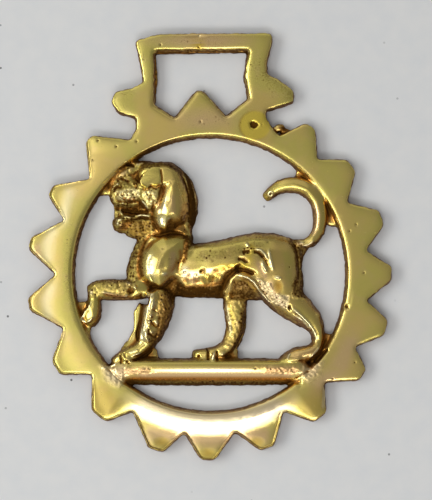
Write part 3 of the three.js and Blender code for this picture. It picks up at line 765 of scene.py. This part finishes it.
    # near hind leg, with painted highlights down its shank and feet
    carve.ridge([(17.2, -13.4), (18.8, -14.8), (20.6, -16.6), (21.8, -18.4), (22.3, -20.2)], 0.5, 0.3,
                shine=1)
    carve.ridge([(17.8, -15), (19.4, -16), (20.8, -17.6), (21.4, -19.4)], 0.35, 0.25, shine=1)
    carve.groove([(17.4, -14.4), (19, -15.4), (20.6, -17)], 0.2, 0.15, dark=0.5)
    carve.lump(23, -14.6, 0.9, 1, 0.5)
    carve.ridge([(16.2, -24), (16.5, -23.2), (16.9, -22.6)], 0.35, 0.3, shine=1)
    carve.ridge([(23.2, -21.4), (22, -22.8), (20.8, -24)], 0.35, 0.3, shine=1)
    carve.groove([(24.4, -22.2), (23.4, -23.4), (22.2, -24.6)], 0.5, 0.8, ends=0)


# tail and bar

def carveTailAndBar(carve):
    tail = [(19, 0.9), (21.4, 1.6), (22.8, 3.6), (23.1, 6.4), (22.4, 9.2), (20.4, 11.7), (17.4, 12.7),
            (14.6, 12.2), (12.4, 10.9)]
    carve.ridge(tail, 1.1, 0.2, ends=0.02, olive=0.5)
    # painted highlights at the tail's tip and root
    carve.lump(12.7, 10.8, 0.95, 0.95, 0.3, shine=1)
    carve.pit(12.8, 10.8, 0.4, 0.7)
    carve.lump(18.9, 0.4, 1.1, 0.7, 0.3, shine=1)
    carve.ridge([(19.2, -0.3), (20.8, 0), (22, 0.9)], 0.3, 0.25, shine=1)
    # sparkling rough patches at the bar's two ends, rosy, and partly painted highlight
    carve.field([(-22.6, -25.6), (-18, -25.6), (-17.4, -27.6), (-19.2, -29.6), (-21.6, -28.4)], 1.2, 0.1,
                grain=0.6, rosy=0.7, shine=0.6)
    carve.field([(19.4, -24.8), (23.6, -24.6), (22.8, -27.4), (20.6, -28.8), (18.6, -27.4)], 1.2, 0.1,
                grain=0.5, rosy=0.8, shine=0.25)
    carve.groove([(17.8, -28.2), (19.4, -27.4), (21, -26.4)], 0.3, 0.3, dark=0.7)
    carve.ridge([(-22.8, -26), (-21.2, -25.6), (-19.6, -24.9)], 0.3, 0.3, shine=1)


def paintTints(carve):
    # ear, shoulder and neck, with the light across their round painted in: pale highlight and rosy tones on
    # the left, mauve reflection in the middle, orange reflection at the right edges
    carve.tint([(-10.6, 9), (-10.7, 6)], 1.1, rosy=0.8)
    carve.tint([(-7.9, 10.5), (-7.7, 6)], 1.3, rosy=0.6)
    carve.tint([(-6.4, 10.5), (-5.9, 8), (-6.2, 5.2)], 1.1, warm=0.4, golden=1, shine=0.5)
    carve.tint([(-5.2, 12), (-4.9, 9), (-5.3, 6)], 0.5, golden=0.8)
    carve.lump(-8.6, 3.4, 1.4, 1, 0, warm=0.7)
    carve.tint([(-13.4, 1.2), (-14.3, -1), (-14.7, -4), (-14.2, -7)], 0.8, warm=0.9, dark=0.75, ends=0.03)
    carve.tint([(-12.4, -1.8), (-12.8, -4.6), (-12, -7)], 1.1, shine=0.9, grain=0.4)
    carve.lump(-9.4, -6.3, 0.9, 0.6, 0.15, shine=1)
    carve.tint([(-7.7, -1.2), (-7.8, -4), (-8.2, -6.4)], 1.2, rosy=0.7, dark=0.15)
    carve.tint([(-6.3, -0.8), (-6.1, -2.6), (-6.7, -4.8)], 0.7, warm=0.9)
    carve.tint([(-11, 1), (-8, 1.2), (-6, 0)], 1.2, olive=0.8)
    # back, tail and flank: a band of painted shade along the back, painted highlights on the flank, and
    # painted shade between and under them
    carve.tint([(-4, -1.6), (2, -1), (8, 0.6), (15, 1)], 2.6, olive=0.5)
    carve.tint([(-3.6, -2.6), (2, -2.2), (7, -1.2), (11, -0.4)], 2.4, dark=0.44)
    carve.tint([(21.2, 1.6), (22.4, 4), (22.6, 6.4), (21.8, 9)], 1.2, rosy=0.9)
    carve.tint([(-5.4, -4.8), (-4.2, -7), (-2.4, -7.8)], 1.5, rosy=0.9)
    carve.tint([(-5.2, -4.4), (-5.6, -7)], 0.8, shine=0.9)
    carve.tint([(-4.4, -6.1), (-2.2, -6.4)], 0.8, shine=1)
    carve.tint([(-1, -5.6), (0.6, -5.4)], 0.8, shine=0.7)
    carve.tint([(1, -5), (5, -4.6), (9, -4.2)], 1.2, golden=1)
    carve.tint([(-1.2, -7.4), (2.4, -6.6)], 1, golden=0.8, warm=0.4)
    carve.ridge([(-1.6, -8.2), (-1.8, -6.9)], 0.5, -0.1, dark=0.5, warm=0.6)
    carve.ridge([(0.4, -8.2), (0.7, -6.6)], 0.6, -0.15, dark=0.6, warm=0.8)
    carve.ridge([(2.8, -7.8), (3.2, -6.2), (4.4, -5.4)], 0.7, -0.15, dark=0.75, warm=0.8)
    carve.tint([(-4, -7.4), (-2, -8)], 0.8, warm=0.5)
    carve.tint([(-7, -9), (-3, -9), (1, -8.4), (4, -7.4)], 1.1, warm=0.9, dark=0.5)
    carve.lump(-1.9, -5.7, 0.4, 0.4, -0.2, dark=0.9)
    # ear's long highlight, painted over a slight ridge
    carve.ridge([(-9.6, 12.2), (-9.6, 9), (-9.8, 6)], 0.7, 0.08, shine=0.9, rosy=-1)
    carve.lump(-10.1, 4.9, 1.5, 1.7, 0.4, shine=1, rosy=-1)
    carve.lump(-8.5, 5.3, 0.5, 0.4, 0.2, shine=1)
    carve.lump(-9, 3.6, 0.7, 0.5, 0.1, golden=1)
    # haunch and legs, with the legs' right sides painted in shade
    carve.tint([(7.8, 0), (9.4, -1.2), (8, -2.4), (8.8, -4)], 0.9, golden=1)
    carve.tint([(9.8, -3.4), (10.6, -5.4), (12, -7.4)], 0.9, rosy=0.9)
    carve.tint([(15.4, -1), (16.6, -4), (16.4, -8)], 1.3, olive=1)
    carve.tint([(12.2, -7.4), (14.2, -11.4), (16, -13.6)], 1.3, rosy=0.9)
    carve.tint([(18, -13), (20.6, -15.6), (22.6, -18.6), (23.2, -21)], 1.6, olive=0.6)
    carve.tint([(17.4, -15), (20.6, -18), (21.8, -20)], 0.8, rosy=1)
    carve.tint([(16.6, -23.6), (20.4, -23), (22.4, -21.6)], 1.5, rosy=0.5, warm=0.25)
    carve.tint([(3.4, -12), (4.2, -16), (4, -19)], 1.6, golden=0.7)
    carve.tint([(-24, -8.4), (-19, -8.8)], 1.6, olive=0.8)
    carve.tint([(-22.6, -10.4), (-17.4, -11.2)], 0.7, warm=0.9)
    carve.tint([(-9.4, -10.4), (-9.2, -14), (-10.6, -18.4), (-12.6, -21)], 1.7, ends=0.05, warm=0.7,
               dark=0.6)
    carve.tint([(6.8, -13), (6.9, -16), (6, -19.6), (4.6, -22)], 1.1, warm=0.6, dark=0.6)
    # bar, with the light across its round painted in: olive on top, a painted highlight along its crest, pink
    # and orange reflection below it, painted shade along its lower side, and its ends rosy and rough so that
    # the highlight fades there
    carve.tint([(-17, -24.6), (17, -24.6)], 1.1, ends=0.05, olive=0.9)
    carve.tint([(-16, -27.4), (18, -27.4)], 1.2, ends=0.05, rosy=1)
    carve.tint([(-11, -26.4), (10, -26.4)], 0.9, ends=0.3, shine=1, rosy=-0.7)
    carve.tint([(11, -26.4), (14, -26.4), (19, -26.4)], 1.5, rosy=0.9, warm=0.4, grain=0.7)
    carve.tint([(-20, -26.6), (-15, -26.6), (-12, -26.4)], 1.3, rosy=0.9, warm=0.3, grain=0.7)
    carve.tint([(-18, -28.2), (18, -28.2)], 0.9, ends=0.05, warm=1)
    carve.tint([(-18, -29.3), (18, -29.3)], 1, ends=0.05, dark=0.85)
    # ring and hanger
    carve.lump(-2, 43.4, 14, 2.2, 0, rosy=0.9, dark=0.2)
    carve.lump(-2.4, 42.6, 1.2, 2, 0, golden=0.9, warm=0.3)
    carve.tint([(12.2, 39.4), (12.4, 36)], 1.1, warm=0.4)
    carve.ridge([(-11.4, 40.9), (8, 40.9)], 0.85, -1.1, ends=0.01, dark=0.55, warm=1)
    carve.ridge([(-11.6, 40.4), (-11.6, 36), (-11.5, 31.4)], 0.6, -0.8, ends=0.01, dark=0.55, warm=1)
    carve.tint([(-14, 41), (-14, 35), (-19, 31), (-16, 27)], 2.6, olive=1, dark=0.16)
    carve.tint([(9.4, 42), (9.4, 37), (17, 31), (14, 28)], 3, olive=1, dark=0.27)
    carve.lump(16.8, 31.8, 3, 3.4, 0, dark=0.32)
    carve.lump(-1, 26.6, 9, 3.4, 0, rosy=0.8, dark=0.2)
    carve.lump(18, 22, 6, 5, 0, olive=0.5)
    carve.lump(15.8, 24.7, 2, 1.4, 0, warm=1, dark=0.7)
    carve.tint([(29, 12), (32, 4), (32, -8)], 4, olive=0.5)
    carve.tint([(30.6, -18), (27, -26), (21, -31)], 3, rosy=0.8)
    # painted highlight bands across the left teeth
    for band in ([(-29.4, 12.4), (-30.4, 8), (-31.2, 4)], [(-32.4, 4), (-34.6, 0), (-34, -4)],
                 [(-32.8, -8), (-34.6, -11.6), (-33.8, -16)], [(-27.6, 20), (-27.4, 17)]):
        carve.tint(band, 1.9, shine=0.75)
    carve.tint([(-36.6, 0.4), (-36, -3)], 1.4, rosy=0.8)
    carve.tint([(-33.4, -15.6), (-31, -19), (-28.6, -20)], 1.6, rosy=0.6)
    carve.tint([(-29.6, 4), (-30, -8), (-28.6, -16)], 1.6, olive=1, dark=0.18)
    carve.tint([(-26, -23), (-22, -29), (-18, -33)], 2.6, olive=0.7)
    carve.tint([(-14, -39.4), (0, -41), (13, -39.6)], 3, ends=0.05, rosy=0.9)
    # painted highlight, tinted pink, along the bottom of the ring
    radius, centre = 31.4, castingForm["ringCentre"]
    turns = np.radians(range(-122, -57, 8))
    arc = [(radius * math.cos(turn), centre + radius * math.sin(turn)) for turn in turns]
    carve.tint(arc, 3.2, ends=0.1, shine=1, rosy=1)
    for tooth in ([(-25.4, -29), (-21.6, -29.6), (-18.6, -33), (-20.6, -36.4), (-25.6, -35.6)],
                  [(24.6, -29.6), (20.4, -30.4), (18.4, -33.4), (20.4, -36.6), (24.8, -35)]):
        carve.field(tooth, 1.2, warm=0.3, olive=1)
    # painted highlight strips down the two lower corner teeth
    carve.ridge([(-25.2, -27.6), (-25.5, -33.2)], 0.9, -0.4, shine=1)
    carve.tint([(24.1, -29.8), (23.7, -34.6)], 0.6, shine=1, grain=0.4)
    for tipX, tipY in ((-10, -41.4), (-0.4, -43.8), (9.6, -41.4)):
        carve.lump(tipX, tipY, 2.2, 1.4, -0.1, golden=0.5, warm=0.35, rosy=-0.6)
    # a yellow ring of tarnish round a deep pit
    turns = np.linspace(0, 2 * math.pi, 17)[:-1]
    disc = [(9.5 + 3.3 * math.cos(turn), 25.3 + 3.1 * math.sin(turn)) for turn in turns]
    carve.tint(disc + disc[:1], 0.45, ends=1, dark=0.36, warm=0.35)
    carve.field(disc, 0.35, -0.02, golden=0.95, olive=1, rosy=-1)
    carve.hold(9.5, 25.3, 3.9)
    carve.field([(8.3, 25.9), (9.2, 26.3), (9.9, 25.9), (10.4, 25.4), (9.8, 24.8), (9.3, 24.6),
                 (8.6, 24.8)], 0.2, -0.16, dark=1, grain=1)
    carve.pit(11, 25.5, 0.3, 0.05, dark=0.8)


def pitFace(carve):
    for px, py in ((-15.5, 21.9), (-19.8, 20.8), (-23.7, 22.1), (-24.8, 18), (-2, 26.1), (-10.5, 42.5),
                   (32.4, -5.9), (29.4, 2.9), (30.8, 4.3), (30.4, -24.7), (25.8, -28.2), (12.7, -26.1),
                   (9.5, -26), (-2.4, 41.9)):
        carve.pit(px, py, 0.34, 0.1, dark=1)
    carve.lump(28.7, -13, 0.7, 0.9, -0.4, dark=1)
    # a small pit by the hanger's top, with a painted glint
    carve.lump(-2.3, 44.4, 0.3, 0.3, -0.25, shine=1)


points, carve = startCarving(casting)
for carvePart in (carveHead, carveTrunk, carveLegs, carveTailAndBar, paintTints, pitFace):
    carvePart(carve)
writePoints(casting, points)
addGroup(casting, "carved", 1 - plateShare)
smoothPart(casting, castingForm["carvedPasses"], "carved")
print("front carved")


# ring and hanger: crowned by polishing

def blurGrid(grid, size):
    reach = int(math.ceil(size * 3))
    kernel = np.exp(-0.5 * (np.arange(-reach, reach + 1) / size) ** 2)
    kernel /= kernel.sum()
    for axis in (0, 1):
        grid = np.apply_along_axis(lambda line: np.convolve(line, kernel, "same"), axis, grid)
    return grid


class HeightMap:
    # the height of the front seen from above, on a grid, and its blurred copies
    def __init__(self, points, front, pitch=0.25):
        self.pitch = pitch
        self.low = points.min(axis=0)[:2] - 3
        spread = points.max(axis=0)[:2] + 3 - self.low
        self.grid = np.zeros((int(spread[0] / pitch) + 1, int(spread[1] / pitch) + 1))
        column, row = ((points[front, :2] - self.low) / pitch).round().astype(int).T
        np.maximum.at(self.grid, (column, row), points[front, 2])

    def sample(self, grid, points):
        u, v = ((points[:, :2] - self.low) / self.pitch).T
        column = np.clip(u.astype(int), 0, grid.shape[0] - 2)
        row = np.clip(v.astype(int), 0, grid.shape[1] - 2)
        across, up = u - column, v - row
        low = grid[column, row] * (1 - across) + grid[column + 1, row] * across
        high = grid[column, row + 1] * (1 - across) + grid[column + 1, row + 1] * across
        return low * (1 - up) + high * up

    def blurred(self, points, reach):
        return self.sample(blurGrid(self.grid, reach / self.pitch), points)


def fillShare(points, front, reach):
    # how much of the neighbourhood is metal
    solid = HeightMap(points, front)
    solid.grid = np.minimum(solid.grid, 1)
    return solid.blurred(points, reach)


def wearRing(points, normals, form):
    x, y = points[:, 0], points[:, 1]
    away = awayFromCentre(points)
    upwards, sideways = (y - form["ringCentre"]) / away, -x / away  # of the way from the ring's centre
    face = plateShare * smoothStep(points[:, 2], 2, 2.5) * smoothStep(normals[:, 2], 0.5, 0.9)
    # a crown all over but on the ring's flat upper rim
    fullness = fillShare(points, normals[:, 2] > 0.2, form["crownReach"])
    flatRim = smoothStep(upwards, 0.3, 0.7) * (1 - smoothStep(away, 30.5, 32))
    fall = form["crown"] * (1 - flatRim) * (1 - smoothStep(fullness, 0.35, 1))
    fall -= form["waves"] * softNoise(x, y, form["waveSize"], 3)
    # the left teeth curve away, and the bottom is worn to a slope
    downShare = smoothStep(-upwards, 0.8, 0.9)
    leftTeeth = smoothStep(sideways, 0.35, 0.7) * (1 - downShare) * (1 - smoothStep(y, 19, 23))
    fall += form["toothFall"] * np.maximum(away - form["toothStart"], 0) ** 2 * leftTeeth
    starts = form["bottomStarts"]
    bottomFall = sum(np.clip(away - start, 0, form["bottomWidth"]) for start in starts) / len(starts)
    fall += form["bottomSlope"] * bottomFall * downShare
    # the hole's rim falls away to the rough wall, widest on the left
    rimWidth = 0.5 + 0.55 * smoothStep(sideways, 0.1, 0.8)
    rim = 1 - smoothStep(away, form["rimStart"], form["rimStart"] + rimWidth)
    fall += form["rimDepth"] * rim * (away > 28)
    points[:, 2] -= face * fall


def roughenWalls(points, normals, form):
    x, y, z = points.T
    (broadSize, broadHeight), (fineSize, fineHeight) = form["wallWaves"]
    ragged = softNoise(x + z, y, broadSize, 5) * broadHeight
    ragged += softNoise(x, y + z, fineSize, 6) * fineHeight
    wallShare = 1 - smoothStep(np.abs(normals[:, 2]), 0.35, 0.75)
    points += normals * (ragged * wallShare)[:, None]


def stippleFront(points, carve, form):
    x, y, z = points.T
    (fineSize, fineHeight), (broadSize, broadHeight) = form["grainWaves"]
    grain = softNoise(x, y, fineSize, 7) * fineHeight
    grain += softNoise(x, y, broadSize, 8) * broadHeight
    z += grain * carve.masks["grain"] * carve.front


points, normals = readPoints(casting), readNormals(casting)
wearRing(points, normals, castingForm)
roughenWalls(points, normals, castingForm)
stippleFront(points, carve, castingForm)
boxLow, boxHigh = (np.array(corner) / mm for corner in cadBox)
points = np.clip(points, boxLow, boxHigh)
points[points[:, 2] < castingForm["backReach"], 2] = 0  # the back stays flat
writePoints(casting, points)
print("face crowned, walls roughened")


# masks for the finish

def writeMask(piece, name, values):
    layer = piece.data.attributes.new(name, "FLOAT", "POINT")
    layer.data.foreach_set("value", np.clip(values, 0, 1).astype(np.float32))


def findTarnishAndShade(points, normals, masks):
    # dirt and brown tarnish gather in the hollows, and the dog's sides that face right and down are painted
    # in warm and dark shade
    onDog = 1 - plateShare
    heights = HeightMap(points, normals[:, 2] > 0.1)
    narrowHollow = heights.blurred(points, 0.5) - points[:, 2]
    wideHollow = heights.blurred(points, 1.6) - points[:, 2]
    hollow = smoothStep(narrowHollow, 0.05, 0.5) * 0.6 + smoothStep(wideHollow, 0.1, 1) * 0.5
    hollow *= smoothStep(normals[:, 2], -0.2, 0.2)
    # painted shade: how far each point on the dog faces right and down
    shadedSide = normals @ np.array((0.75, -0.66, 0)) * onDog
    inHollow, onShadedSide = smoothStep(hollow, 0.05, 0.4) * 0.9, smoothStep(shadedSide, 0.4, 0.75) * 0.8
    for warm in (inHollow, onShadedSide, 0.13 * onDog * (1 - masks["shine"])):
        masks["warm"] = np.maximum(masks["warm"], warm)
    for dark in (smoothStep(hollow, 0.35, 0.95), smoothStep(shadedSide, 0.55, 0.95) * 0.7):
        masks["dark"] = np.maximum(masks["dark"], dark)
    # walls and edges, and the dog's steep sides where they aren't polished
    steep = 1 - smoothStep(normals[:, 2], 0.2, 0.8)
    edge = 1 - smoothStep(fillShare(points, normals[:, 2] > 0.1, 0.4), 0.5, 0.72)
    dogSteep = onDog * (1 - smoothStep(normals[:, 2], 0.35, 0.92)) * 0.8
    dogSteep *= 1 - np.clip(masks["shine"] + masks["golden"] * 0.6, 0, 1)
    masks["wall"] = np.maximum(np.maximum(steep, dogSteep), edge * 0.8)


findTarnishAndShade(points, readNormals(casting), carve.masks)
for name, values in carve.masks.items():
    writeMask(casting, name, values)
print("masks written")


# finish

brassFinish = {
    "olive": (0.77, 0.65, 0.16),
    "polished": (0.86, 0.64, 0.19),
    "rosy": (0.88, 0.6, 0.3),
    "golden": (0.95, 0.72, 0.1),
    "highlightPaint": (0.97, 0.9, 0.62),
    "warm": (0.5, 0.19, 0.02),
    "wall": (0.2, 0.09, 0.02),
    "dark": (0.1, 0.042, 0.006),
    "grainScale": 2200,
    "speckScale": 1500,
    "speckSize": 0.42,  # of a cell
    "driftScale": 110,
    "streakScale": 420,
    "roughness": 0.24,
    "coat": 0.35,
    "bumpHeight": 0.0001,  # m
}


def makeBrass(finish):
    material = bpy.data.materials.new("castBrass")
    material.use_nodes = True
    tree = material.node_tree
    shader = tree.nodes["Principled BSDF"]
    shader.inputs["Coat Roughness"].default_value = 0.1
    place = addNode(tree, "ShaderNodeTexCoord").outputs["Object"]
    dark, warm, grain, shine, rosy, golden, olive = (readMask(tree, name) for name in maskNames)
    wall = readMask(tree, "wall")
    fine = addNoise(tree, place, finish["grainScale"], 3)
    # black specks in the brown places
    specks = addNode(tree, "ShaderNodeTexVoronoi", feature="F1")
    specks.inputs["Scale"].default_value = finish["speckScale"]
    tree.links.new(place, specks.inputs["Vector"])
    speckPick = addNode(tree, "ShaderNodeSeparateColor")
    tree.links.new(specks.outputs["Color"], speckPick.inputs[0])
    speck = stretch(tree, finish["speckSize"], specks.outputs["Distance"], 6)
    speck = addMath(tree, "MULTIPLY", speck, addMath(tree, "GREATER_THAN", speckPick.outputs[0], 0.66))
    brown = addShare(tree, addMath(tree, "MULTIPLY", dark, 1.6), warm, 0.5)
    speck = addMath(tree, "MULTIPLY", speck, brown, clamp=True)

    # the masks' borders are broken up by the grain
    rough = addMath(tree, "SUBTRACT", fine, 0.5)
    broken = addShare(tree, addShare(tree, dark, rough, 0.9), speck, 0.8)
    darkShare = stretch(tree, broken, 0.22, 1.7)
    wallShare = stretch(tree, addShare(tree, wall, rough, 0.8), 0.1, 1.3)

    # faint tints drift over the polished face
    broad = addNoise(tree, place, finish["driftScale"], 2)
    streaks = addNoise(tree, place, finish["streakScale"], 3)
    drift = addMath(tree, "SUBTRACT", stretch(tree, broad, 0.38, 4), olive, clamp=True)
    colour = mixColour(tree, drift, finish["olive"], finish["polished"])
    pink = addMath(tree, "MULTIPLY", stretch(tree, streaks, 0.5, 3), 0.35)
    pink = addMath(tree, "MAXIMUM", pink, rosy)
    # painted highlight: a pale colour mixed in over the polished places
    highlightPaint = addMath(tree, "MULTIPLY", shine, 0.6)
    layers = {"rosy": pink, "golden": golden, "highlightPaint": highlightPaint, "warm": warm, "wall": wallShare,
              "dark": darkShare}
    for name, share in layers.items():
        colour = mixColour(tree, share, colour, finish[name])
    tree.links.new(colour, shader.inputs["Base Color"])

    # walls, dirt and grain are duller than the polished face
    roughness = finish["roughness"]
    for mask, amount in ((wallShare, 0.35), (darkShare, 0.25), (grain, 0.22)):
        roughness = addShare(tree, roughness, mask, amount)
    roughness = addMath(tree, "SUBTRACT", roughness, addMath(tree, "MULTIPLY", shine, 0.03))
    tree.links.new(roughness, shader.inputs["Roughness"])
    shader.inputs["Metallic"].default_value = 1
    clean = addMath(tree, "SUBTRACT", 1, addMath(tree, "MAXIMUM", darkShare, wallShare))
    tree.links.new(addMath(tree, "MULTIPLY", clean, finish["coat"]), shader.inputs["Coat Weight"])

    bump = addNode(tree, "ShaderNodeBump")
    bump.inputs["Distance"].default_value = finish["bumpHeight"]
    wallGrain = addMath(tree, "MULTIPLY", wall, 0.5)
    strength = addMath(tree, "ADD", addMath(tree, "MULTIPLY", grain, 0.9), wallGrain, clamp=True)
    tree.links.new(strength, bump.inputs["Strength"])
    tree.links.new(fine, bump.inputs["Height"])
    tree.links.new(bump.outputs["Normal"], shader.inputs["Normal"])
    return material


casting.data.materials.clear()
casting.data.materials.append(makeBrass(brassFinish))
share = castingForm["triangles"] / (2 * len(casting.data.polygons))
addGroup(casting, "thin", 1 - carve.keep)
applyModifier(casting, "DECIMATE", ratio=min(1, share), vertex_group="thin")
writePoints(casting, np.clip(readPoints(casting), boxLow, boxHigh))
bpy.ops.object.select_all(action="DESELECT")
casting.select_set(True)
bpy.ops.object.shade_smooth()
print("finished:", len(casting.data.polygons), "faces")

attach(casting, "root")
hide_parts("horse_brass")
